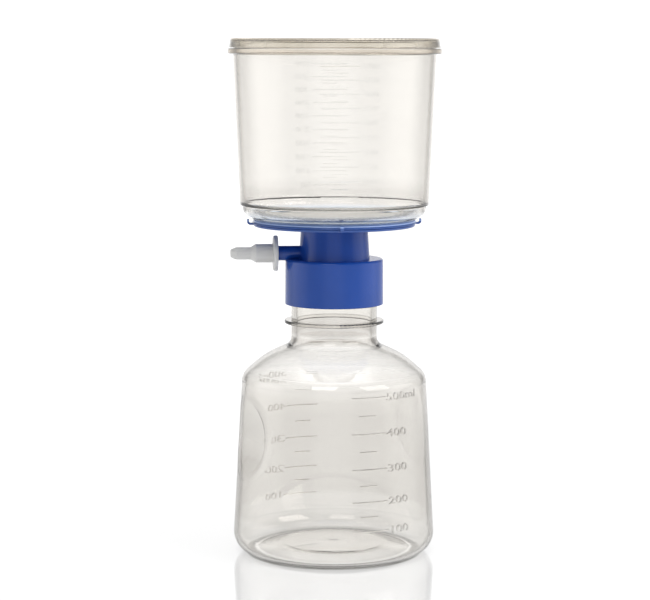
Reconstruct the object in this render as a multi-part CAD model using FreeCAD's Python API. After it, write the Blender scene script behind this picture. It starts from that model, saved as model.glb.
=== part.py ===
import FreeCAD, Part
import math
import os

# Vacuum filtration unit: clear upper chamber with a lid, blue filter base, hose adapter, and a
# 500 mL receiver bottle. Millimetres. The origin is on the floor under the bottle's axis, +Z is up,
# and the vacuum port points along -X. Profiles are lists of (radius, height, corner rounding).

# Receiver bottle
BOTTLE_WALL = 1.8
BOTTLE_BASE_R = 51.9
BOTTLE_BASE_ROUND = 10.5
FOOT_INNER_R = 38.6
PUNT_R = 27.0
PUNT_RISE = 3.5
PUNT_ROUND = 12.0
SHOULDER_R, SHOULDER_Z = 46.9, 91.9
DOME_R, DOME_Z = 35.6, 101.7
NECK_R, NECK_ROOT_Z = 21.8, 108.0
NECK_WALL = 2.6
NECK_ROOT_ROUND = 5.0
MOUTH_Z = 146.8
RING_R, RING_Z, RING_THICK = 25.3, 118.8, 1.7
GRIP_Z = 62.0
GRIP_DEPTH = 3.5
GRIP_CURVE_R = 57.0
GRIP_EDGE_ROUND = 16.0
GRIP_TURN = 20.0

# Filter base
PLATE_BOTTOM_Z, PLATE_TOP_Z = 167.3, 171.0
PLATE_LOW_R, PLATE_BEAD_R, PLATE_SEAT_R = 40.9, 41.6, 41.0
PLATE_GROOVE_R, PLATE_GROOVE_Z = 40.5, 168.6
PLATE_BEAD_Z, PLATE_STEP_Z = 169.1, 170.2
PLATE_WEB = 2.4
TONGUE_INNER_R, TONGUE_OUTER_R, TONGUE_TOP_Z = 40.0, 40.8, 171.5
TONGUE_PLAY = 0.05
RIB_COUNT = 12
RIB_WIDTH = 1.2
TUBE_TOP_R, TUBE_BOTTOM_R, TUBE_WALL = 16.9, 18.1, 2.0
COLLAR_R, COLLAR_BOTTOM_Z, COLLAR_TOP_Z = 25.0, 127.6, 150.8
COLLAR_BORE_R = 23.4
COLLAR_ROOF = 2.4
COLLAR_ROUND = 1.2
SPOUT_R, SPOUT_BORE_R, SPOUT_END_Z = 5.0, 3.4, 142.7
PORT_Z = 153.5
PORT_R, PORT_BORE_R = 3.75, 2.25
PORT_END_X = 38.5
TAB_REACH, TAB_THICK, TAB_WIDTH = 44.3, 1.1, 1.8
TAB_BOTTOM_Z, TAB_TOP_Z = 168.0, 170.9
TAB_ROUND = 1.8

# Membrane and its drainage channels
MEMBRANE_R = 38.0
MEMBRANE_THICK = 0.2
MEMBRANE_PLAY = 0.1
CHANNEL_DEPTH = 0.8
CHANNEL_WIDTH = 1.2
CHANNEL_PITCH = 5.4
CHANNEL_RINGS = 6
CHANNEL_SPOKES = 8
CHANNEL_REACH = 36.0

# Upper chamber
FOOT_R, FOOT_ROUND = 46.3, 4.5
FLANGE_BORE_R, FLANGE_R, FLANGE_THICK = 36.8, 41.7, 2.4
BOWL_LOW_Z = 172.2
WELD_R, WELD_WIDTH, WELD_HEIGHT = 39.0, 0.6, 0.06
LEDGE_R, LEDGE_Z = 47.7, 178.2
CHAMBER_WALL = 1.7
RIM_BOTTOM_Z, RIM_TOP_Z, RIM_R = 253.9, 256.6, 53.8
CHAMBER_R_AT_RIM = 51.1
CHAMBER_MOUTH_R, CHAMBER_MOUTH_Z = 51.1, 260.2
INNER_STEP = 1.1
INNER_STEP_ROUND = 1.5

# Lid
LID_R, LID_TOP_Z = 52.4, 261.7
LID_SKIRT_R, LID_SKIRT_Z = 53.1, 257.0
LID_SKIRT_WALL = 1.0
LID_RIM_THICK = 1.5
LID_RECESS_R, LID_RECESS = 47.1, 1.2
LID_PANEL_THICK = 1.4
LID_RIBS = 16
LID_RIB_WIDTH, LID_RIB_DEPTH = 0.9, 0.6

# Neck gasket
GASKET_INNER_R, GASKET_OUTER_R = 17.8, 23.1

# Hose adapter: sizes along -X from the bottle's axis
ADAPTER_START_X, ADAPTER_TIP_X = 28.8, 52.7
ADAPTER_FLANGE_R, ADAPTER_FLANGE_THICK = 9.0, 2.3
BARREL_R, BARREL_END_X = 4.75, 40.0
TIP_R, TIP_START_X = 3.15, 42.4
NOSE_R, NOSE_START_X = 1.9, 49.9
TIP_BORE_R = 1.2
SOCKET_PLAY = 0.05
SOCKET_END_X = 39.0

# Fibre plug in the port
PLUG_START_X, PLUG_END_X = 29.5, 36.5

ORIGIN = FreeCAD.Vector(0, 0, 0)
X_AXIS = FreeCAD.Vector(1, 0, 0)
Y_AXIS = FreeCAD.Vector(0, 1, 0)
Z_AXIS = FreeCAD.Vector(0, 0, 1)


def profile_wire(corners):
    """A closed wire in the XZ plane; a corner with a rounding gets a tangent arc."""
    edges = []
    starts, ends = [], []
    count = len(corners)
    for index, (r, z, rounding) in enumerate(corners):
        here = FreeCAD.Vector(r, 0, z)
        if not rounding:
            starts.append(here)
            ends.append(here)
            continue
        before = corners[index - 1]
        after = corners[(index + 1) % count]
        back = (FreeCAD.Vector(before[0], 0, before[1]) - here).normalize()
        onward = (FreeCAD.Vector(after[0], 0, after[1]) - here).normalize()
        half_angle = back.getAngle(onward) / 2
        reach = rounding / math.tan(half_angle)
        centre_way = (back + onward).normalize()
        middle = here + centre_way * (rounding / math.sin(half_angle) - rounding)
        start, end = here + back * reach, here + onward * reach
        edges.append(Part.Arc(start, middle, end).toShape())
        starts.append(start)
        ends.append(end)
    for index in range(count):
        line_start = ends[index]
        line_end = starts[(index + 1) % count]
        if line_start.distanceToPoint(line_end) > 1e-6:
            edges.append(Part.LineSegment(line_start, line_end).toShape())
    return Part.Wire(Part.__sortEdges__(edges))


def turned(corners):
    """The solid made by turning a closed profile about +Z."""
    return Part.Face(profile_wire(corners)).revolve(ORIGIN, Z_AXIS, 360)


def inset(path, distance):
    """The open path moved to its left by distance, with roundings to suit."""
    moved = []
    last = len(path) - 1
    for index, (r, z, rounding) in enumerate(path):
        ways = []
        if index > 0:
            ways.append((r - path[index - 1][0], z - path[index - 1][1]))
        if index < last:
            ways.append((path[index + 1][0] - r, path[index + 1][1] - z))
        normals = [FreeCAD.Vector(-dz, 0, dr).normalize() for dr, dz in ways]
        if len(normals) == 1:
            shift = normals[0] * distance
            turn = 0
        else:
            total = normals[0] + normals[1]
            shift = total * (distance / (1 + normals[0].dot(normals[1])))
            turn = normals[0].cross(normals[1]).y
        new_round = rounding + distance if turn > 0 else rounding - distance
        moved.append((r + shift.x, z + shift.z, max(new_round, 0) if rounding else 0))
    return moved


def ring(inner_r, outer_r, low_z, high_z):
    """A plain square-edged ring about the Z axis."""
    outer = Part.makeCylinder(outer_r, high_z - low_z, FreeCAD.Vector(0, 0, low_z))
    inner = Part.makeCylinder(inner_r, high_z - low_z, FreeCAD.Vector(0, 0, low_z))
    return outer.cut(inner)


def copies(shape, count, first_angle=0.0):
    """count copies of a shape, evenly spaced about the Z axis."""
    made = []
    for index in range(count):
        copy = shape.copy()
        copy.rotate(ORIGIN, Z_AXIS, first_angle + 360.0 * index / count)
        made.append(copy)
    return made


def centred_box(low_r, high_r, width, low_z, high_z):
    """A bar along +X between two radii."""
    corner = FreeCAD.Vector(low_r, -width / 2, low_z)
    return Part.makeBox(high_r - low_r, width, high_z - low_z, corner)


# Receiver bottle ---------------------------------------------------------------------------------

def bottle_path(neck_r):
    """The bottle's outer line, from the middle of its base to its mouth, without the ring."""
    return [
        (0.0, PUNT_RISE, 0),
        (PUNT_R, PUNT_RISE - 0.5, PUNT_ROUND),
        (FOOT_INNER_R, 0.0, 4.0),
        (BOTTLE_BASE_R, 0.0, BOTTLE_BASE_ROUND),
        (SHOULDER_R, SHOULDER_Z, 8.0),
        (DOME_R, DOME_Z, 40.0),
        (neck_r, NECK_ROOT_Z, NECK_ROOT_ROUND),
        (neck_r, MOUTH_Z, 0),
    ]


def grip_cutter(side_angle, growth):
    """A level cylinder that presses a thumb recess into the side at side_angle."""
    draft = math.atan2(BOTTLE_BASE_R - SHOULDER_R, SHOULDER_Z)
    wall_r = BOTTLE_BASE_R - GRIP_Z * math.tan(draft)
    reach = GRIP_CURVE_R - GRIP_DEPTH
    centre_r = wall_r + reach * math.cos(draft)
    centre_z = GRIP_Z + reach * math.sin(draft)
    length = 2.4 * BOTTLE_BASE_R
    start = FreeCAD.Vector(centre_r, -length / 2, centre_z)
    cutter = Part.makeCylinder(GRIP_CURVE_R + growth, length, start, Y_AXIS)
    cutter.rotate(ORIGIN, Z_AXIS, side_angle)
    return cutter


def pressed(body, growth, rounding):
    """The body with both thumb recesses, their edges rounded."""
    for side_angle in (GRIP_TURN, GRIP_TURN + 180.0):
        body = body.cut(grip_cutter(side_angle, growth))
    rims = []
    for face in body.Faces:
        is_recess = face.Surface.TypeId == "Part::GeomCylinder"
        if is_recess and abs(face.Surface.Radius - GRIP_CURVE_R - growth) < 1e-6:
            rims.extend(face.Edges)
    return body.makeFillet(rounding, rims)


def make_bottle():
    outside = turned(bottle_path(NECK_R) + [(0.0, MOUTH_Z, 0)])
    outside = pressed(outside, 0.0, GRIP_EDGE_ROUND)
    inner = inset(bottle_path(NECK_R - NECK_WALL + BOTTLE_WALL), BOTTLE_WALL)
    over_mouth = MOUTH_Z + 1.0
    inner[0] = (0.0, inner[0][1], 0)
    inner[-1] = (inner[-1][0], over_mouth, 0)
    cavity = turned(inner + [(0.0, over_mouth, 0)])
    cavity = pressed(cavity, BOTTLE_WALL, GRIP_EDGE_ROUND - BOTTLE_WALL)
    ring_low = RING_Z - RING_THICK / 2
    support_ring = turned([
        (NECK_R - 0.5, ring_low, 0),
        (RING_R, ring_low, 0.5),
        (RING_R, ring_low + RING_THICK, 0.5),
        (NECK_R - 0.5, ring_low + RING_THICK, 0),
    ])
    return outside.fuse(support_ring).cut(cavity)


# Filter base -------------------------------------------------------------------------------------

def make_plate():
    """The support plate: a beaded rim with a weld tongue, cored and ribbed underneath."""
    plate = turned([
        (0.0, PLATE_BOTTOM_Z, 0),
        (PLATE_LOW_R, PLATE_BOTTOM_Z, 0.5),
        (PLATE_LOW_R, PLATE_GROOVE_Z - 0.2, 0.1),
        (PLATE_GROOVE_R, PLATE_GROOVE_Z, 0),
        (PLATE_BEAD_R, PLATE_GROOVE_Z + 0.2, 0.15),
        (PLATE_BEAD_R, PLATE_BEAD_Z, 0.4),
        (PLATE_SEAT_R, PLATE_STEP_Z, 0),
        (PLATE_SEAT_R, PLATE_TOP_Z, 0),
        (TONGUE_OUTER_R, PLATE_TOP_Z, 0),
        (TONGUE_OUTER_R, TONGUE_TOP_Z, 0.1),
        (TONGUE_INNER_R, TONGUE_TOP_Z, 0.1),
        (TONGUE_INNER_R, PLATE_TOP_Z, 0),
        (0.0, PLATE_TOP_Z, 0),
    ])
    core_top_z = PLATE_TOP_Z - PLATE_WEB
    core_inner_r = TUBE_TOP_R + 1.5
    core_outer_r = PLATE_LOW_R - 1.8
    coring = ring(core_inner_r, core_outer_r, PLATE_BOTTOM_Z, core_top_z)
    rib = centred_box(core_inner_r - 1, core_outer_r + 1, RIB_WIDTH, PLATE_BOTTOM_Z, core_top_z)
    for bar in copies(rib, RIB_COUNT, 360.0 / RIB_COUNT / 2):
        coring = coring.cut(bar)
    return plate.cut(coring)


def drainage():
    """The seat of the membrane with its ring and spoke channels, as one cutting shape."""
    seat_z = PLATE_TOP_Z - MEMBRANE_THICK
    seat = Part.makeCylinder(MEMBRANE_R + MEMBRANE_PLAY, 1.0, FreeCAD.Vector(0, 0, seat_z))
    floor_z = seat_z - CHANNEL_DEPTH
    rings = []
    for index in range(CHANNEL_RINGS):
        middle_r = CHANNEL_REACH - CHANNEL_WIDTH / 2 - index * CHANNEL_PITCH
        inner_r, outer_r = middle_r - CHANNEL_WIDTH / 2, middle_r + CHANNEL_WIDTH / 2
        rings.append(ring(inner_r, outer_r, floor_z, seat_z))
    spoke = centred_box(0, CHANNEL_REACH - CHANNEL_WIDTH / 2, CHANNEL_WIDTH, floor_z, seat_z)
    return seat.multiFuse(rings + copies(spoke, CHANNEL_SPOKES))


def make_tab():
    """A small hooked tab on the plate's edge, pointing along +X."""
    inner_x = PLATE_LOW_R - 1.0
    outline = profile_wire([
        (inner_x, TAB_BOTTOM_Z, 0),
        (TAB_REACH, TAB_BOTTOM_Z, TAB_ROUND),
        (TAB_REACH, TAB_TOP_Z, 0.3),
        (TAB_REACH - TAB_THICK, TAB_TOP_Z, 0.3),
        (TAB_REACH - TAB_THICK, TAB_BOTTOM_Z + TAB_THICK, TAB_ROUND - TAB_THICK),
        (inner_x, TAB_BOTTOM_Z + TAB_THICK, 0),
    ])
    tab = Part.Face(outline).extrude(Y_AXIS * TAB_WIDTH)
    tab.translate(Y_AXIS * (-TAB_WIDTH / 2))
    return tab


def make_filter_base():
    outer_tube = turned([
        (0.0, COLLAR_TOP_Z - 1.0, 0),
        (TUBE_BOTTOM_R, COLLAR_TOP_Z - 1.0, 0),
        (TUBE_TOP_R, PLATE_BOTTOM_Z + 0.5, 0),
        (0.0, PLATE_BOTTOM_Z + 0.5, 0),
    ])
    collar = turned([
        (0.0, COLLAR_BOTTOM_Z, 0),
        (COLLAR_R, COLLAR_BOTTOM_Z, 0.4),
        (COLLAR_R - 0.15, COLLAR_TOP_Z, COLLAR_ROUND),
        (0.0, COLLAR_TOP_Z, 0),
    ])
    port = Part.makeCylinder(PORT_R, PORT_END_X, FreeCAD.Vector(0, 0, PORT_Z), -X_AXIS)
    shell = make_plate().multiFuse([outer_tube, collar, port] + copies(make_tab(), 4))

    roof_low_z = COLLAR_TOP_Z - COLLAR_ROOF
    inside = turned([
        (0.0, COLLAR_BOTTOM_Z - 1.0, 0),
        (COLLAR_BORE_R, COLLAR_BOTTOM_Z - 1.0, 0),
        (COLLAR_BORE_R, roof_low_z, 0),
        (TUBE_BOTTOM_R - TUBE_WALL, roof_low_z, 0),
        (TUBE_TOP_R - TUBE_WALL, PLATE_BOTTOM_Z, 0.8),
        (0.0, PLATE_BOTTOM_Z, 0),
    ])
    port_bore = Part.makeCylinder(
        PORT_BORE_R, PORT_END_X + 1.0, FreeCAD.Vector(0, 0, PORT_Z), -X_AXIS)
    shell = shell.cut(inside).cut(port_bore)

    spout = turned([
        (0.0, SPOUT_END_Z, 0),
        (SPOUT_R - 0.6, SPOUT_END_Z, 0.3),
        (SPOUT_R, PLATE_BOTTOM_Z + 0.5, 0),
        (0.0, PLATE_BOTTOM_Z + 0.5, 0),
    ])
    spout_bore = Part.makeCylinder(
        SPOUT_BORE_R, PLATE_TOP_Z - SPOUT_END_Z, FreeCAD.Vector(0, 0, SPOUT_END_Z))
    return shell.fuse(spout).cut(drainage()).cut(spout_bore)


def make_membrane():
    low_z = PLATE_TOP_Z - MEMBRANE_THICK
    return Part.makeCylinder(MEMBRANE_R, MEMBRANE_THICK, FreeCAD.Vector(0, 0, low_z))


def make_gasket():
    roof_low_z = COLLAR_TOP_Z - COLLAR_ROOF
    return turned([
        (GASKET_INNER_R, MOUTH_Z, 0.3),
        (GASKET_OUTER_R, MOUTH_Z, 0.3),
        (GASKET_OUTER_R, roof_low_z, 0.3),
        (GASKET_INNER_R, roof_low_z, 0.3),
    ])


def make_port_plug():
    start = FreeCAD.Vector(-PLUG_START_X, 0, PORT_Z)
    return Part.makeCylinder(PORT_BORE_R, PLUG_END_X - PLUG_START_X, start, -X_AXIS)


# Upper chamber and lid ---------------------------------------------------------------------------

def make_funnel():
    """The chamber: its flange has a groove for the plate's tongue, and a fine weld ring."""
    flange_low_z = PLATE_TOP_Z + WELD_HEIGHT
    floor_z = flange_low_z + FLANGE_THICK
    wall_low_r = LEDGE_R - CHAMBER_WALL
    wall_high_r = CHAMBER_R_AT_RIM - CHAMBER_WALL
    return turned([
        (FLANGE_BORE_R, flange_low_z, 0),
        (WELD_R - WELD_WIDTH / 2, flange_low_z, 0),
        (WELD_R - WELD_WIDTH / 2, PLATE_TOP_Z, 0),
        (WELD_R + WELD_WIDTH / 2, PLATE_TOP_Z, 0),
        (WELD_R + WELD_WIDTH / 2, flange_low_z, 0),
        (TONGUE_INNER_R - TONGUE_PLAY, flange_low_z, 0),
        (TONGUE_INNER_R - TONGUE_PLAY, TONGUE_TOP_Z + TONGUE_PLAY, 0),
        (TONGUE_OUTER_R + TONGUE_PLAY, TONGUE_TOP_Z + TONGUE_PLAY, 0),
        (TONGUE_OUTER_R + TONGUE_PLAY, flange_low_z, 0),
        (FLANGE_R, flange_low_z, 0.2),
        (FLANGE_R, BOWL_LOW_Z, 0),
        (FOOT_R, BOWL_LOW_Z, FOOT_ROUND),
        (FOOT_R + 0.1, LEDGE_Z - 0.3, 0.3),
        (LEDGE_R, LEDGE_Z, 0.2),
        (CHAMBER_R_AT_RIM, RIM_BOTTOM_Z, 0.5),
        (RIM_R, RIM_BOTTOM_Z, 0.5),
        (RIM_R, RIM_TOP_Z, 0.5),
        (CHAMBER_MOUTH_R, RIM_TOP_Z, 0),
        (CHAMBER_MOUTH_R, CHAMBER_MOUTH_Z, 0.4),
        (wall_high_r, CHAMBER_MOUTH_Z, 0.4),
        (wall_high_r, RIM_BOTTOM_Z, 0),
        (wall_low_r, LEDGE_Z + INNER_STEP, INNER_STEP_ROUND),
        (wall_low_r - INNER_STEP, LEDGE_Z, INNER_STEP_ROUND),
        (wall_low_r - INNER_STEP - 0.2, floor_z, FOOT_ROUND - 0.8),
        (FLANGE_BORE_R, floor_z, 0.4),
    ])


def make_lid():
    rim_low_z = LID_TOP_Z - LID_RIM_THICK
    panel_top_z = LID_TOP_Z - LID_RECESS
    panel_low_z = panel_top_z - LID_PANEL_THICK
    skirt_inner_r = LID_SKIRT_R - LID_SKIRT_WALL
    lid = turned([
        (0.0, panel_low_z, 0),
        (LID_RECESS_R + 1.1, panel_low_z, 0.4),
        (LID_RECESS_R + 1.2, rim_low_z, 0.2),
        (skirt_inner_r - 0.1, rim_low_z, 0.3),
        (skirt_inner_r, LID_SKIRT_Z, 0),
        (LID_SKIRT_R, LID_SKIRT_Z, 0.3),
        (LID_R, LID_TOP_Z, 0.8),
        (LID_RECESS_R, LID_TOP_Z, 0.4),
        (LID_RECESS_R - 0.3, panel_top_z, 0.4),
        (0.0, panel_top_z, 0),
    ])
    rib = centred_box(skirt_inner_r - LID_RIB_DEPTH, skirt_inner_r + 0.3, LID_RIB_WIDTH,
                      LID_SKIRT_Z + 0.5, rim_low_z + 0.3)
    return lid.multiFuse(copies(rib, LID_RIBS))


# Hose adapter ------------------------------------------------------------------------------------

def make_adapter():
    """Turned about +Z with its tip upwards, then laid along -X at the port's height."""
    flange_end_x = ADAPTER_START_X + ADAPTER_FLANGE_THICK
    adapter = turned([
        (PORT_R + SOCKET_PLAY, ADAPTER_START_X, 0.2),
        (ADAPTER_FLANGE_R, ADAPTER_START_X, 0.5),
        (ADAPTER_FLANGE_R, flange_end_x, 0.9),
        (BARREL_R, flange_end_x, 0.5),
        (BARREL_R, BARREL_END_X, 0.4),
        (TIP_R, TIP_START_X, 0.6),
        (TIP_R, NOSE_START_X, 1.6),
        (NOSE_R, ADAPTER_TIP_X, 0.6),
        (TIP_BORE_R, ADAPTER_TIP_X, 0),
        (TIP_BORE_R, SOCKET_END_X, 0),
        (PORT_R + SOCKET_PLAY, SOCKET_END_X, 0),
    ])
    adapter.rotate(ORIGIN, Y_AXIS, -90)
    adapter.translate(Z_AXIS * PORT_Z)
    return adapter


NODES = {
    "receiver_bottle": make_bottle,
    "neck_gasket": make_gasket,
    "filter_base": make_filter_base,
    "port_plug": make_port_plug,
    "membrane": make_membrane,
    "funnel": make_funnel,
    "lid": make_lid,
    "hose_adapter": make_adapter,
}


def main():
    os.makedirs("parts", exist_ok=True)
    for name, make in NODES.items():
        shape = make()
        solids = shape.Solids
        if len(solids) != 1 or not shape.isValid():
            raise RuntimeError(f"{name}: {len(solids)} solids, valid {shape.isValid()}")
        solids[0].exportStep(f"parts/{name}.step")
        box = shape.BoundBox
        print(f"{name}: {shape.Volume / 1000:.2f} cm3, x {box.XMin:.2f} to {box.XMax:.2f},"
              f" z {box.ZMin:.2f} to {box.ZMax:.2f}")


main()
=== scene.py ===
import math

import bmesh
import bpy
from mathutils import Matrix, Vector
from mathutils.bvhtree import BVHTree


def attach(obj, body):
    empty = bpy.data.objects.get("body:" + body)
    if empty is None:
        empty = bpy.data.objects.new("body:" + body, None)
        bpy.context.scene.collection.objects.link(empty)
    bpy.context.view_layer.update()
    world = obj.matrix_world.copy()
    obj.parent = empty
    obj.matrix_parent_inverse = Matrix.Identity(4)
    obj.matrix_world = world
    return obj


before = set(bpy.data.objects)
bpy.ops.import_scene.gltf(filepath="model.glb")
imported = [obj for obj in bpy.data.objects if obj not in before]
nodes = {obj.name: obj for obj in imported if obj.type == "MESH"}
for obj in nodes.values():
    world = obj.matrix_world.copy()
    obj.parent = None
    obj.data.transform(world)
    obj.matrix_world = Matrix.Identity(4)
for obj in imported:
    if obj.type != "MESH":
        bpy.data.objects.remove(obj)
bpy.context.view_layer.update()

MM = 0.001
HEAD = "filter_head"
BOTTLE = "receiver"
WHITE = (1.0, 1.0, 1.0)

# The direction that faces the camera, as an angle about +Z from +X. Marks are placed from it.
FRONT = math.radians(265.0)


def add_object(name, data):
    """A new object in the scene."""
    item = bpy.data.objects.new(name, data)
    bpy.context.scene.collection.objects.link(item)
    return item


def add_mesh_object(name, bm, material):
    """A new object in the scene from a bmesh, which is used up."""
    mesh = bpy.data.meshes.new(name)
    bm.to_mesh(mesh)
    bm.free()
    mesh.materials.append(material)
    return add_object(name, mesh)


# ------------------------------------------------------------------------------------------------
# Shader nodes
# ------------------------------------------------------------------------------------------------

# The values that a noise stays between nearly everywhere
NOISE_LOW, NOISE_HIGH = 0.35, 0.65


def set_inputs(node, values):
    """Gives a node's inputs their values by name."""
    for name, value in values.items():
        node.inputs[name].default_value = value


def add_node(tree, kind, values=None):
    """A new shader node with values for its inputs by name."""
    node = tree.nodes.new("ShaderNode" + kind)
    set_inputs(node, values or {})
    return node


def add_math(tree, kind, operation, *terms):
    """A new Math or VectorMath node that works on the given outputs."""
    node = add_node(tree, kind)
    node.operation = operation
    for socket, term in zip(node.inputs, terms):
        tree.links.new(term, socket)
    return node.outputs["Value" if kind == "Math" or operation == "LENGTH" else "Vector"]


def map_range(tree, value, span, ends=(0.0, 1.0), smooth=False):
    """A value that goes from one end to the other while its source goes through a span."""
    node = add_node(tree, "MapRange", {
        "From Min": span[0], "From Max": span[1], "To Min": ends[0], "To Max": ends[1],
    })
    if smooth:
        node.interpolation_type = "SMOOTHSTEP"
    tree.links.new(value, node.inputs["Value"])
    return node.outputs["Result"]


def color_ramp(tree, value, stops, span):
    """The colour at a value, from stops that lie within a span. A short span keeps them sharp."""
    start, end = span
    ramp = add_node(tree, "ValToRGB")
    elements = ramp.color_ramp.elements
    while len(elements) < len(stops):
        elements.new(1.0)
    for element, (place, color) in zip(elements, stops.items()):
        element.position = (place - start) / (end - start)
        element.color = (*color, 1)
    tree.links.new(map_range(tree, value, span), ramp.inputs["Fac"])
    return ramp.outputs["Color"]


def object_place(tree):
    """The place on the object, from the material's one coordinate node."""
    coords = tree.nodes.get("Texture Coordinate") or add_node(tree, "TexCoord")
    return coords.outputs["Object"]


def height_ramp(tree, stops, span):
    """A colour for each height over the unit's foot, in metres."""
    place = add_node(tree, "SeparateXYZ")
    tree.links.new(object_place(tree), place.inputs["Vector"])
    return color_ramp(tree, place.outputs["Z"], stops, span)


def new_material(name):
    """A node material with its shader, ready for settings."""
    material = bpy.data.materials.new(name)
    material.use_nodes = True
    tree = material.node_tree
    return material, tree, tree.nodes["Principled BSDF"]


def add_bump(tree, shader, scale, strength, distance, stretch=(1, 1, 1), detail=2.0):
    """Fine unevenness of the surface, as a noise that feeds the shader's normal."""
    mapping = add_node(tree, "Mapping", {"Scale": stretch})
    noise = add_node(tree, "TexNoise", {"Scale": scale, "Detail": detail})
    bump = add_node(tree, "Bump", {"Strength": strength, "Distance": distance})
    tree.links.new(object_place(tree), mapping.inputs["Vector"])
    tree.links.new(mapping.outputs["Vector"], noise.inputs["Vector"])
    tree.links.new(noise.outputs["Fac"], bump.inputs["Height"])
    tree.links.new(bump.outputs["Normal"], shader.inputs["Normal"])
    return noise.outputs["Fac"]


def vary_roughness(tree, shader, noise, low, high):
    """Roughness that drifts between two values over the surface."""
    drift = map_range(tree, noise, (NOISE_LOW, NOISE_HIGH), (low, high))
    tree.links.new(drift, shader.inputs["Roughness"])


# ------------------------------------------------------------------------------------------------
# Clear plastic
# ------------------------------------------------------------------------------------------------

CLEAR_IOR = 1.58
RIPPLE_STRENGTH = 0.25
ROUGHNESS_DRIFT = 0.3

# Slopes away from the eye between which a clear wall takes painted shade, from 0 face on to 1 edge
# on
EDGE_START, EDGE_END = 0.72, 0.86

# Painted light and shade in the chamber's and the bottle's wall, by height over the unit's foot,
# in metres.
# The chamber's wall is painted lighter at its moulded foot, darker in bands just above it and
# darker at its top, and its flange is painted with the blue of the base that it is welded to. The
# bottle's wall is painted lighter under its base, at its heel and over its shoulder, and darker
# just above its base, at the neck's root and below the neck's ring. The lid's rim has a painted
# glow.
# CHAMBER_SIDE is the wall's plain tint; the other stops are painted light and shade, and a painted
# blue on the flange
CHAMBER_SIDE = (0.908, 0.904, 0.895)
CHAMBER_PAINTED_LIGHT = {
    0.1725: (0.72, 0.82, 0.97), 0.1755: (0.96, 0.955, 0.945), 0.182: (0.8, 0.79, 0.78),
    0.186: (0.85, 0.845, 0.835), 0.190: CHAMBER_SIDE, 0.2530: CHAMBER_SIDE,
    0.2540: (0.87, 0.85, 0.82),
}
CHAMBER_PAINTED_LIGHT_SPAN = (0.17, 0.26)
CHAMBER_EDGE_SHADE = (0.65, 0.61, 0.56)

# Levels of painted light and shade in the bottle's wall; BOTTLE_SIDE is its plain tint
BOTTLE_FOOT_SHADE = (0.95, 0.945, 0.935)
BOTTLE_HEEL_LIGHT = (0.97, 0.965, 0.955)
BOTTLE_SIDE = (0.88, 0.87, 0.855)
BOTTLE_NECK_ROOT_SHADE = (0.84, 0.83, 0.82)
BOTTLE_NECK_SHADE = (0.72, 0.71, 0.70)
BOTTLE_PAINTED_LIGHT = {
    0.003: WHITE, 0.0045: BOTTLE_FOOT_SHADE, 0.008: BOTTLE_FOOT_SHADE, 0.0095: BOTTLE_HEEL_LIGHT,
    0.019: BOTTLE_HEEL_LIGHT, 0.022: BOTTLE_SIDE, 0.084: BOTTLE_SIDE, 0.094: WHITE, 0.1075: WHITE,
    0.109: BOTTLE_NECK_ROOT_SHADE, 0.1105: BOTTLE_NECK_ROOT_SHADE, 0.112: WHITE, 0.1137: BOTTLE_NECK_SHADE,
    0.1175: BOTTLE_NECK_SHADE, 0.1195: (0.92, 0.915, 0.905),
}
BOTTLE_PAINTED_LIGHT_SPAN = (0.0, 0.13)
BOTTLE_EDGE_SHADE = (0.2, 0.18, 0.16)

# Painted glow of the lid's rim, by height over the unit's foot, in metres
LID_RIM_PAINTED_GLOW = {0.2606: (0.0, 0.0, 0.0), 0.2609: (0.27, 0.24, 0.20)}
LID_RIM_PAINTED_GLOW_SPAN = (0.26, 0.262)


def clear_plastic(name, tint, density, roughness, ripple_scale, ripple, skin=WHITE):
    """See-through plastic: smooth, faintly rippled, and a little darker where it is thick."""
    material, tree, shader = new_material(name)
    set_inputs(shader, {
        "Base Color": (*skin, 1), "Transmission Weight": 1.0, "IOR": CLEAR_IOR,
    })
    noise = add_bump(tree, shader, ripple_scale, RIPPLE_STRENGTH, ripple, detail=1.0)
    vary_roughness(tree, shader, noise, low=roughness * (1 - ROUGHNESS_DRIFT),
                   high=roughness * (1 + ROUGHNESS_DRIFT))
    absorb = add_node(tree, "VolumeAbsorption", {"Color": (*tint, 1), "Density": density})
    tree.links.new(absorb.outputs["Volume"], tree.nodes["Material Output"].inputs["Volume"])
    return material


def grade_skin(material, stops, span, edge_shade):
    """Paints light and shade into what the wall lets through: from stops by height, and painted
    shade where it is edge on.
    """
    tree = material.node_tree
    # Painted shade where the wall is edge on to the eye
    slope = add_node(tree, "LayerWeight").outputs["Facing"]
    painted_edge_shade = color_ramp(tree, slope, {EDGE_START: WHITE, EDGE_END: edge_shade}, (0.0, 1.0))
    # Painted light and shade by height, times the painted edge shade
    skin = add_math(tree, "VectorMath", "MULTIPLY", height_ramp(tree, stops, span), painted_edge_shade)
    tree.links.new(skin, tree.nodes["Principled BSDF"].inputs["Base Color"])


def chamber_material():
    material = clear_plastic("chamber_clear", tint=(0.948, 0.928, 0.897), density=300.0,
                             roughness=0.02, ripple_scale=35.0, ripple=0.05 * MM)
    grade_skin(material, CHAMBER_PAINTED_LIGHT, CHAMBER_PAINTED_LIGHT_SPAN, CHAMBER_EDGE_SHADE)
    return material


def marks_material():
    """The chamber's plastic for its low raised marks, which add no tint of their own."""
    return clear_plastic("marks_clear", tint=(0.94, 0.93, 0.91), density=300.0,
                         roughness=0.02, ripple_scale=35.0, ripple=0.05 * MM)


def bottle_material():
    material = clear_plastic("bottle_clear", tint=(0.938, 0.930, 0.915), density=500.0,
                             roughness=0.02, ripple_scale=22.0, ripple=0.2 * MM)
    grade_skin(material, BOTTLE_PAINTED_LIGHT, BOTTLE_PAINTED_LIGHT_SPAN, BOTTLE_EDGE_SHADE)
    return material


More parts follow.
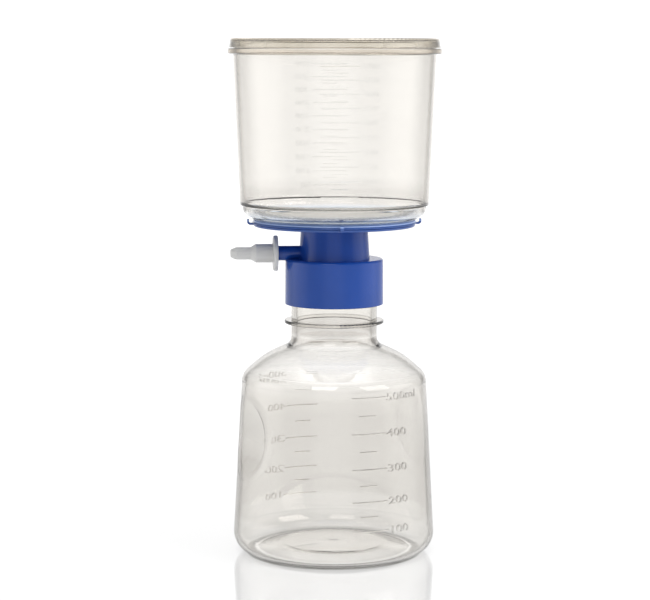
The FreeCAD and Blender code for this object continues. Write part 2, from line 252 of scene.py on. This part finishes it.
def lid_material():
    material = clear_plastic("lid_clear", tint=(0.95, 0.925, 0.88), density=15.0,
                             roughness=0.12, ripple_scale=60.0, ripple=0.05 * MM,
                             skin=(0.86, 0.83, 0.76))
    tree = material.node_tree
    shader = tree.nodes["Principled BSDF"]
    # The rim's emission is a painted glow
    set_inputs(shader, {"Emission Strength": 1.0})
    tree.links.new(height_ramp(tree, LID_RIM_PAINTED_GLOW, LID_RIM_PAINTED_GLOW_SPAN), shader.inputs["Emission Color"])
    return material


# ------------------------------------------------------------------------------------------------
# Other materials
# ------------------------------------------------------------------------------------------------

# The base's two blues, by the noise that they drift with
BLUES = {0.3: (0.008, 0.061, 0.325), 0.7: (0.011, 0.070, 0.37)}
BLUE_DRIFT_SCALE = 40.0

# Painted light that the plate's rim adds to the blue by height over the unit's foot, in metres: a
# pale painted light along its side, a painted highlight on the bead's upper side, and painted
# light on the step and the welded face
RIM_SIDE_LIGHT = (0.03, 0.035, 0.0)
RIM_BEAD_HIGHLIGHT = (0.38, 0.47, 0.55)
RIM_STEP_LIGHT = (0.05, 0.06, 0.0)
RIM_PAINTED_LIGHT = {
    0.1662: (0.0, 0.0, 0.0), 0.1674: RIM_SIDE_LIGHT, 0.1696: RIM_SIDE_LIGHT, 0.1699: RIM_BEAD_HIGHLIGHT,
    0.1702: RIM_BEAD_HIGHLIGHT, 0.1704: RIM_STEP_LIGHT, 0.1707: RIM_STEP_LIGHT, 0.171: (0.3, 0.35, 0.35),
}
RIM_PAINTED_LIGHT_SPAN = (0.166, 0.172)


def blue_material():
    """Blue moulded plastic with a soft gloss and a fine grain, with painted light and a painted
    highlight along the plate's rim.
    """
    material, tree, shader = new_material("base_blue")
    grain = add_bump(tree, shader, scale=900.0, strength=0.05, distance=0.01 * MM)
    vary_roughness(tree, shader, grain, low=0.18, high=0.24)
    drift = add_node(tree, "TexNoise", {"Scale": BLUE_DRIFT_SCALE})
    tree.links.new(object_place(tree), drift.inputs["Vector"])
    blue = color_ramp(tree, drift.outputs["Fac"], BLUES, (0.0, 1.0))
    # Adds the painted light and painted highlight of the plate's rim
    painted_rim_light = add_math(tree, "VectorMath", "ADD", blue, height_ramp(tree, RIM_PAINTED_LIGHT, RIM_PAINTED_LIGHT_SPAN))
    tree.links.new(painted_rim_light, shader.inputs["Base Color"])
    return material


def adapter_material():
    """Milky natural plastic: light passes into it, but nothing is seen through it."""
    material, tree, shader = new_material("adapter_white")
    noise = add_bump(tree, shader, scale=300.0, strength=0.1, distance=0.1 * MM)
    vary_roughness(tree, shader, noise, low=0.3, high=0.42)
    set_inputs(shader, {
        "Base Color": (0.85, 0.85, 0.84, 1), "Transmission Weight": 0.25,
        "Subsurface Weight": 0.5, "Subsurface Radius": (1.0, 1.0, 1.0), "Subsurface Scale": 2 * MM,
    })
    return material


def membrane_material():
    """Fine matt white film with a faint mottle, with a painted glow that makes up for the light
    lost in the clear walls.
    """
    material, tree, shader = new_material("membrane_white")
    noise = add_bump(tree, shader, scale=2500.0, strength=0.3, distance=0.05 * MM, detail=4.0)
    vary_roughness(tree, shader, noise, low=0.7, high=0.9)
    # The emission is a painted glow
    set_inputs(shader, {
        "Base Color": (0.92, 0.92, 0.91, 1), "Emission Color": (1, 1, 1, 1),
        "Emission Strength": 0.25,
    })
    return material


def gasket_material():
    """Soft pale rubber."""
    material, tree, shader = new_material("gasket_grey")
    noise = add_bump(tree, shader, scale=1500.0, strength=0.2, distance=0.05 * MM)
    vary_roughness(tree, shader, noise, low=0.5, high=0.65)
    set_inputs(shader, {"Base Color": (0.55, 0.55, 0.54, 1)})
    return material


def fibre_material():
    """White fibre plug, streaked along the bore."""
    material, tree, shader = new_material("plug_fibre")
    noise = add_bump(tree, shader, scale=1800.0, strength=0.8, distance=0.3 * MM,
                     stretch=(0.15, 1, 1), detail=5.0)
    vary_roughness(tree, shader, noise, low=0.85, high=1.0)
    set_inputs(shader, {"Base Color": (0.86, 0.86, 0.84, 1), "Sheen Weight": 0.3})
    return material


def dress(node, material):
    """Gives a CAD node its finish."""
    slots = nodes[node].material_slots
    if not slots:
        nodes[node].data.materials.append(material)
    for entry in slots:
        entry.material = material


chamber_clear = chamber_material()
bottle_clear = bottle_material()
marks_clear = marks_material()
base_blue = blue_material()
dress("funnel", chamber_clear)
dress("lid", lid_material())
dress("receiver_bottle", bottle_clear)
dress("filter_base", base_blue)
dress("hose_adapter", adapter_material())
dress("membrane", membrane_material())
dress("neck_gasket", gasket_material())
dress("port_plug", fibre_material())

# ------------------------------------------------------------------------------------------------
# Graduations: raised ticks and plain numbers that follow the walls
# ------------------------------------------------------------------------------------------------


class Wall:
    """The outside of a CAD node, found by looking inwards from outside at an angle and height."""

    START = 0.2

    def __init__(self, node):
        mesh = nodes[node].data
        corners = [v.co for v in mesh.vertices]
        self.tree = BVHTree.FromPolygons(corners, [tuple(p.vertices) for p in mesh.polygons])

    def radius(self, angle, z):
        way = Vector((math.cos(angle), math.sin(angle), 0))
        start = way * self.START + Vector((0, 0, z))
        hit = self.tree.ray_cast(start, -way, self.START)[0]
        return math.hypot(hit.x, hit.y)

    def point(self, angle, z, lift):
        r = self.radius(angle, z) + lift
        return Vector((r * math.cos(angle), r * math.sin(angle), z))


def close_ridge(bm, rows):
    """Joins rows of corners into a closed ridge with a face at each end."""
    count = len(rows[0])
    for here, there in zip(rows, rows[1:]):
        for k in range(count):
            j = (k + 1) % count
            bm.faces.new((here[k], there[k], there[j], here[j]))
    bm.faces.new(list(reversed(rows[0])))
    bm.faces.new(rows[-1])


FONT_SIZE_PER_HEIGHT = 1.45
FONT_CURVE_STEPS = 3
MARK_SINK = 0.15 * MM
TICK_STEP = math.radians(2.0)
TICK_LEAST_STEPS = 4

# Where a tick's rounded crown begins, as shares of its half thickness and of its rise
CROWN_WIDTH, CROWN_RISE = 0.8, 0.6


def add_tick(bm, wall, middle, width, z, thickness, rise):
    """A raised bar with a rounded crown, from one angle to another at one height."""
    steps = max(TICK_LEAST_STEPS, round(width / TICK_STEP))
    half = thickness / 2
    section = [
        (-half, -MARK_SINK), (-half * CROWN_WIDTH, rise * CROWN_RISE), (0, rise),
        (half * CROWN_WIDTH, rise * CROWN_RISE), (half, -MARK_SINK),
    ]
    rows = []
    for step in range(steps + 1):
        angle = middle - width / 2 + width * step / steps
        rows.append([bm.verts.new(wall.point(angle, z + dz, lift)) for dz, lift in section])
    close_ridge(bm, rows)


def number_mesh(text, height, stretch, rise):
    """A plain number as a flat-backed mesh: x along the text, y up it, z out of the wall."""
    curve = bpy.data.curves.new("number", "FONT")
    curve.body = text
    curve.size = height * FONT_SIZE_PER_HEIGHT
    curve.align_x = "LEFT"
    curve.extrude = (rise + MARK_SINK) / 2
    curve.resolution_u = FONT_CURVE_STEPS
    holder = add_object("number", curve)
    bpy.context.view_layer.update()
    depsgraph = bpy.context.evaluated_depsgraph_get()
    mesh = bpy.data.meshes.new_from_object(holder.evaluated_get(depsgraph))
    bpy.data.objects.remove(holder)
    bpy.data.curves.remove(curve)
    for vertex in mesh.vertices:
        vertex.co.x *= stretch
    return mesh


def add_number(bm, wall, text, start, z, height, stretch, rise):
    """A raised number that starts at an angle and reads to the right, centred on height z."""
    mesh = number_mesh(text, height, stretch, rise)
    base = wall.radius(start, z)
    added = [bm.verts.new(v.co) for v in mesh.vertices]
    for vertex in added:
        x, y, out = vertex.co
        angle = start + x / base
        vertex.co = wall.point(angle, z + y - height / 2, out + (rise - MARK_SINK) / 2)
    for polygon in mesh.polygons:
        bm.faces.new([added[i] for i in polygon.vertices])
    bpy.data.meshes.remove(mesh)


def finish_mesh(name, bm, material, body):
    """Turns a bmesh into a piece that rides on a body."""
    bmesh.ops.remove_doubles(bm, verts=bm.verts, dist=1e-6)
    bmesh.ops.recalc_face_normals(bm, faces=bm.faces)
    piece = add_mesh_object(name, bm, material)
    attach(piece, body)


# Heights in millimetres by volume. Ticks are a middle and a width, as angles from the front.
BOTTLE_MARKS = {500: 86.1, 400: 68.2, 300: 50.7, 200: 34.6, 100: 20.0}
BOTTLE_MARK_RISE = 0.35 * MM
BOTTLE_TICK_THICK = 0.55 * MM
BOTTLE_LONG_TICK = (math.radians(21.6), math.radians(21.7))
BOTTLE_SHORT_TICK = (math.radians(20.5), math.radians(10.2))
BOTTLE_NUMBER_AT = math.radians(32.8)
BOTTLE_NUMBER_HEIGHT, BOTTLE_NUMBER_STRETCH = 3.7 * MM, 1.6


def make_bottle_marks():
    """The bottle's marks: one each 100 mL with its number, and a short one halfway."""
    wall = Wall("receiver_bottle")
    bm = bmesh.new()
    heights = [z * MM for z in BOTTLE_MARKS.values()]
    for side in (FRONT, FRONT + math.pi):
        for volume, z in zip(BOTTLE_MARKS, heights):
            text = f"{volume}ml" if volume == 500 else str(volume)
            add_tick(bm, wall, side + BOTTLE_LONG_TICK[0], BOTTLE_LONG_TICK[1], z,
                     BOTTLE_TICK_THICK, BOTTLE_MARK_RISE)
            add_number(bm, wall, text, side + BOTTLE_NUMBER_AT, z, BOTTLE_NUMBER_HEIGHT,
                       BOTTLE_NUMBER_STRETCH, BOTTLE_MARK_RISE)
        for above, below in zip(heights, heights[1:]):
            add_tick(bm, wall, side + BOTTLE_SHORT_TICK[0], BOTTLE_SHORT_TICK[1],
                     (above + below) / 2, BOTTLE_TICK_THICK, BOTTLE_MARK_RISE)
    finish_mesh("bottle_graduations", bm, bottle_clear, BOTTLE)


# The chamber's marks climb by steps that shorten evenly, in millimetres, as the chamber widens
CHAMBER_ZERO_Z = 177.5
CHAMBER_STEP_LOW = 7.5
CHAMBER_STEP_HIGH = 6.65
CHAMBER_STEPS = 10
CHAMBER_STEP_ML = 50
CHAMBER_MARK_RISE = 0.07 * MM
CHAMBER_LONG_THICK, CHAMBER_SHORT_THICK = 0.32 * MM, 0.3 * MM
CHAMBER_LONG_TICK = (math.radians(3.0), math.radians(22.0))
CHAMBER_SHORT_TICK = (math.radians(3.0), math.radians(9.0))
CHAMBER_NUMBER_AT = math.radians(15.5)
CHAMBER_NUMBER_HEIGHT, CHAMBER_NUMBER_STRETCH = 2.8 * MM, 1.4


def make_chamber_marks():
    """The chamber's marks: one each 50 mL with its number, and a short one halfway."""
    wall = Wall("funnel")
    bm = bmesh.new()
    heights = [CHAMBER_ZERO_Z * MM]
    for index in range(CHAMBER_STEPS):
        share = index / (CHAMBER_STEPS - 1)
        step = CHAMBER_STEP_LOW + (CHAMBER_STEP_HIGH - CHAMBER_STEP_LOW) * share
        heights.append(heights[-1] + step * MM)
    for side in (FRONT, FRONT + math.pi):
        for index in range(1, CHAMBER_STEPS + 1):
            z = heights[index]
            add_tick(bm, wall, side + CHAMBER_LONG_TICK[0], CHAMBER_LONG_TICK[1], z,
                     CHAMBER_LONG_THICK, CHAMBER_MARK_RISE)
            add_number(bm, wall, str(index * CHAMBER_STEP_ML), side + CHAMBER_NUMBER_AT, z,
                       CHAMBER_NUMBER_HEIGHT, CHAMBER_NUMBER_STRETCH, CHAMBER_MARK_RISE)
            if index > 1:
                add_tick(bm, wall, side + CHAMBER_SHORT_TICK[0], CHAMBER_SHORT_TICK[1],
                         (z + heights[index - 1]) / 2, CHAMBER_SHORT_THICK, CHAMBER_MARK_RISE)
    finish_mesh("chamber_graduations", bm, marks_clear, HEAD)


make_bottle_marks()
make_chamber_marks()

# ------------------------------------------------------------------------------------------------
# The 45 mm screw thread, hidden in the collar at rest
# ------------------------------------------------------------------------------------------------

THREAD_LEAD = 4.0 * MM
THREAD_STEPS = 72
THREAD_FADE_STEPS = THREAD_STEPS // 8
NECK_THREAD = {
    "root_r": 21.7 * MM, "crest_r": 23.0 * MM, "root_half": 1.0 * MM, "crest_half": 0.45 * MM,
    "start_z": 137.2 * MM, "turns": 1.25,
}
COLLAR_THREAD = {
    "root_r": 23.5 * MM, "crest_r": 22.2 * MM, "root_half": 0.9 * MM, "crest_half": 0.4 * MM,
    "start_z": 135.2 * MM, "turns": 1.0,
}


def make_thread(root_r, crest_r, root_half, crest_half, start_z, turns):
    """A ridge that climbs one lead a turn and fades out at both ends."""
    bm = bmesh.new()
    steps = round(turns * THREAD_STEPS)
    rows = []
    for step in range(steps + 1):
        turn = step / THREAD_STEPS
        angle = turn * math.tau
        z = start_z + THREAD_LEAD * turn
        fade = min(1.0, min(step, steps - step) / THREAD_FADE_STEPS)
        crest = root_r + (crest_r - root_r) * fade
        section = [(root_r, -root_half), (crest, -crest_half), (crest, crest_half),
                   (root_r, root_half)]
        rows.append([
            bm.verts.new((r * math.cos(angle), r * math.sin(angle), z + dz))
            for r, dz in section
        ])
    close_ridge(bm, rows)
    return bm


finish_mesh("neck_thread", make_thread(**NECK_THREAD), bottle_clear, BOTTLE)
finish_mesh("collar_thread", make_thread(**COLLAR_THREAD), base_blue, HEAD)

# ------------------------------------------------------------------------------------------------
# Floor, light and camera
# ------------------------------------------------------------------------------------------------


def grey(value):
    return value, value, value


# Glow of the floor at distances from its middle, in metres: more under the bottle and towards
# the back, and the share of it that is left in the contact shadow of the bottle's heel
FLOOR_GLOW = {0.033: grey(1.0), 0.05: grey(0.62), 0.40: grey(0.62), 0.60: grey(1.0)}
FLOOR_GLOW_SPAN = (0.0, 0.6)
HEEL_SHADOW = {
    0.0395: grey(1.0), 0.0418: grey(0.12), 0.0440: grey(0.12), 0.0452: grey(0.8),
    0.0510: grey(1.0),
}
HEEL_SHADOW_SPAN = (0.03, 0.06)
FLOOR_HALF = 80.0


def make_floor():
    """A glossy white sweep that the unit stands on."""
    material, tree, shader = new_material("stage_white")
    set_inputs(shader, {
        "Base Color": (*grey(0.4), 1), "Specular IOR Level": 0.0, "Coat Weight": 1.0,
        "Coat Roughness": 0.06, "Coat IOR": 1.8, "Emission Strength": 1.0,
    })
    distance = add_math(tree, "VectorMath", "LENGTH", object_place(tree))
    glow = add_math(tree, "VectorMath", "MULTIPLY",
                    color_ramp(tree, distance, FLOOR_GLOW, FLOOR_GLOW_SPAN),
                    color_ramp(tree, distance, HEEL_SHADOW, HEEL_SHADOW_SPAN))
    tree.links.new(glow, shader.inputs["Emission Color"])
    bm = bmesh.new()
    corners = ((-1, -1), (1, -1), (1, 1), (-1, 1))
    bm.faces.new([bm.verts.new((x * FLOOR_HALF, y * FLOOR_HALF, 0)) for x, y in corners])
    add_mesh_object("floor", bm, material)


# The white panels of the studio are gone at the first angle from their middles, full at the second
PANEL_FADE = (math.radians(32.0), math.radians(14.0))
PANEL_WHITE = 1.2
CORNER_GREY = 0.4

# How far a direction points to the front or up, from -1 to 1, while the panel there comes in,
# and that panel's share of white
FRONT_FADE, FRONT_SHARE = (-0.5, 0.9), 0.5
TOP_FADE, TOP_SHARE = (0.75, 0.95), 2.0


def make_world():
    """A tent of panels round the unit: brightest above, dimmest in front, greyer corners."""
    world = bpy.data.worlds.new("studio")
    bpy.context.scene.world = world
    world.use_nodes = True
    tree = world.node_tree
    backdrop = tree.nodes["Background"]
    set_inputs(backdrop, {"Color": (1, 1, 1, 1)})
    turned = add_node(tree, "Mapping", {"Rotation": (0, 0, -FRONT)})
    way, size = add_node(tree, "SeparateXYZ"), add_node(tree, "SeparateXYZ")
    tree.links.new(add_node(tree, "TexCoord").outputs["Generated"], turned.inputs["Vector"])
    tree.links.new(turned.outputs["Vector"], way.inputs["Vector"])
    tree.links.new(add_math(tree, "VectorMath", "ABSOLUTE", turned.outputs["Vector"]),
                   size.inputs["Vector"])
    sides = add_math(tree, "Math", "MAXIMUM", size.outputs["X"], size.outputs["Y"])
    nearest = add_math(tree, "Math", "MAXIMUM", sides, size.outputs["Z"])
    panel = map_range(tree, nearest, [math.cos(angle) for angle in PANEL_FADE],
                      (CORNER_GREY, PANEL_WHITE), smooth=True)
    front = map_range(tree, way.outputs["X"], FRONT_FADE, (1.0, FRONT_SHARE), smooth=True)
    top = map_range(tree, way.outputs["Z"], TOP_FADE, (1.0, TOP_SHARE), smooth=True)
    shares = add_math(tree, "Math", "MULTIPLY", front, top)
    strength = add_math(tree, "Math", "MULTIPLY", panel, shares)
    tree.links.new(strength, backdrop.inputs["Strength"])


SOFTBOX_AIM = Vector((0, 0, 0.15))


def add_softbox(name, place, size, power, mirrored):
    """A square soft light that points at the unit, and may show in glossy surfaces."""
    data = bpy.data.lights.new(name, "AREA")
    data.size = size
    data.energy = power
    light = add_object(name, data)
    light.location = place
    light.visible_glossy = mirrored
    light.rotation_euler = (SOFTBOX_AIM - Vector(place)).to_track_quat("-Z", "Y").to_euler()


# Lens and sensor in millimetres, place in metres, and how far the camera looks down, turns and
# leans, so that the unit stands in the picture as it does in the photograph
CAMERA_LENS, CAMERA_SENSOR = 121.846, 36.0
CAMERA_DISTANCE, CAMERA_HEIGHT = 1.111, 0.26145
CAMERA_DOWN = math.radians(6.7786)
CAMERA_YAW = math.radians(0.24)
CAMERA_ROLL = math.radians(0.12)


def make_camera():
    data = bpy.data.cameras.new("camera")
    data.sensor_width = CAMERA_SENSOR
    data.lens = CAMERA_LENS
    camera = add_object("camera", data)
    out = Vector((math.cos(FRONT), math.sin(FRONT), 0))
    camera.location = out * CAMERA_DISTANCE + Vector((0, 0, CAMERA_HEIGHT))
    heading = FRONT - math.tau * 0.75
    camera.rotation_euler = (math.pi / 2 - CAMERA_DOWN, 0, heading + CAMERA_YAW)
    camera.rotation_euler.rotate_axis("Z", CAMERA_ROLL)
    bpy.context.scene.camera = camera


# Light crosses many clear walls on its way
LIGHT_BOUNCES = 24

make_floor()
make_world()
add_softbox("key", place=(1.2, -0.9, 0.9), size=1.0, power=12.0, mirrored=False)
add_softbox("fill", place=(-0.4, -1.2, 1.1), size=0.8, power=4.0, mirrored=True)
make_camera()
bpy.context.scene.view_settings.view_transform = "Standard"
bpy.context.scene.cycles.max_bounces = LIGHT_BOUNCES
bpy.context.scene.cycles.transmission_bounces = LIGHT_BOUNCES
